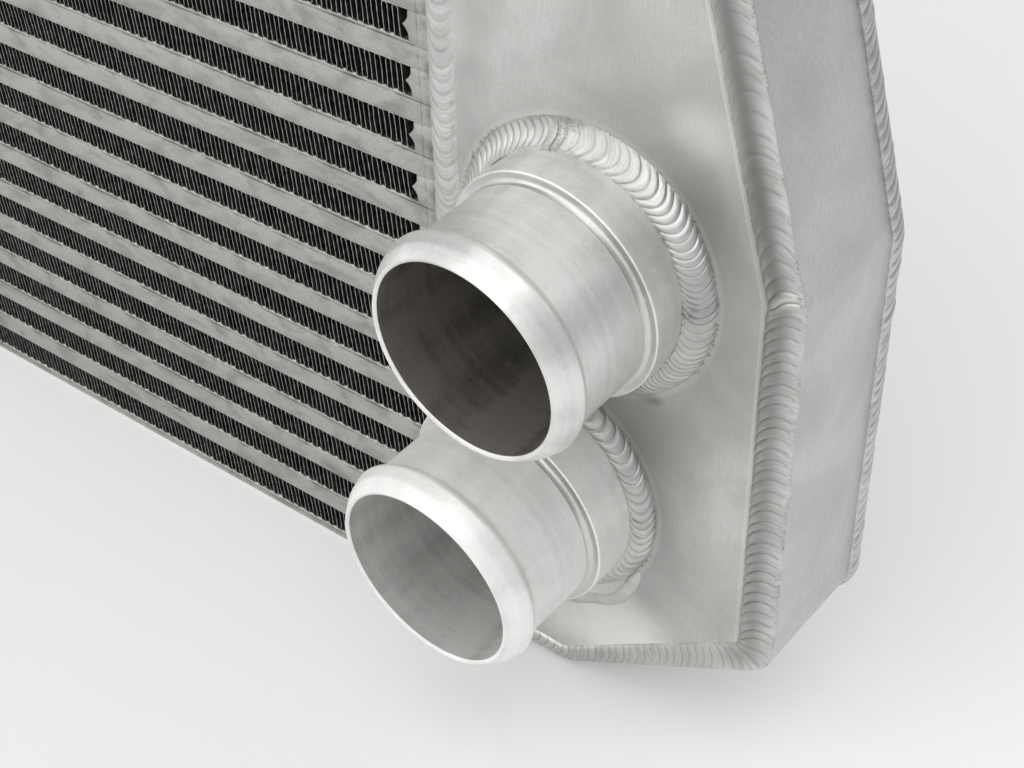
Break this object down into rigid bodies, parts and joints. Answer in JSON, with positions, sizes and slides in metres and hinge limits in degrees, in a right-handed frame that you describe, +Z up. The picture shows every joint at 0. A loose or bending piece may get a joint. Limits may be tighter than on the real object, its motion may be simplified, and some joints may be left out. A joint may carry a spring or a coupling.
{
  "type": "intercooler",
  "caption": "Bar-and-plate air-to-air intercooler with a finned core, a welded tank with two hose stubs on one end and a return tank on the other.",
  "frame": {"origin": "middle of the core's underside, on the plane it stands on", "axes": "+X along the core towards the stub tank, -Y to the front where the stubs point, +Z up"},
  "size_m": [0.4754, 0.0958, 0.2573],
  "materials": {
    "core_bars": "brazed, dull satin",
    "fin_foil": "thin rolled foil",
    "tank_sheet": "mill finish, fine scratch-brushed",
    "turned_stub": "lathe turned, bright",
    "weld_bead": "TIG weld, rippled"
  },
  "bodies": {
    "root": {"bottom_side_plate": "core_bars", "top_side_plate": "core_bars", "charge_tube_01": "core_bars", "charge_tube_02": "core_bars", "charge_tube_03": "core_bars", "charge_tube_04": "core_bars", "charge_tube_05": "core_bars", "charge_tube_06": "core_bars", "charge_tube_07": "core_bars", "charge_tube_08": "core_bars", "charge_tube_09": "core_bars", "charge_tube_10": "core_bars", "charge_tube_11": "core_bars", "charge_tube_12": "core_bars", "charge_tube_13": "core_bars", "charge_tube_14": "core_bars", "charge_tube_15": "core_bars", "charge_tube_16": "core_bars", "cooling_fin_01": "fin_foil", "cooling_fin_02": "fin_foil", "cooling_fin_03": "fin_foil", "cooling_fin_04": "fin_foil", "cooling_fin_05": "fin_foil", "cooling_fin_06": "fin_foil", "cooling_fin_07": "fin_foil", "cooling_fin_08": "fin_foil", "cooling_fin_09": "fin_foil", "cooling_fin_10": "fin_foil", "cooling_fin_11": "fin_foil", "cooling_fin_12": "fin_foil", "cooling_fin_13": "fin_foil", "cooling_fin_14": "fin_foil", "cooling_fin_15": "fin_foil", "cooling_fin_16": "fin_foil", "cooling_fin_17": "fin_foil", "stub_tank_front_plate": "tank_sheet", "stub_tank_back_plate": "tank_sheet", "stub_tank_wrap": "tank_sheet", "stub_tank_front_seam": "weld_bead", "stub_tank_rear_seam": "weld_bead", "stub_tank_front_core_weld": "weld_bead", "stub_tank_back_core_weld": "weld_bead", "return_tank_front_plate": "tank_sheet", "return_tank_back_plate": "tank_sheet", "return_tank_wrap": "tank_sheet", "return_tank_front_seam": "weld_bead", "return_tank_rear_seam": "weld_bead", "return_tank_front_core_weld": "weld_bead", "return_tank_back_core_weld": "weld_bead", "pass_divider": "tank_sheet", "upper_stub": "turned_stub", "lower_stub": "turned_stub", "upper_stub_weld": "weld_bead", "lower_stub_weld": "weld_bead"}
  },
  "joints": []
}
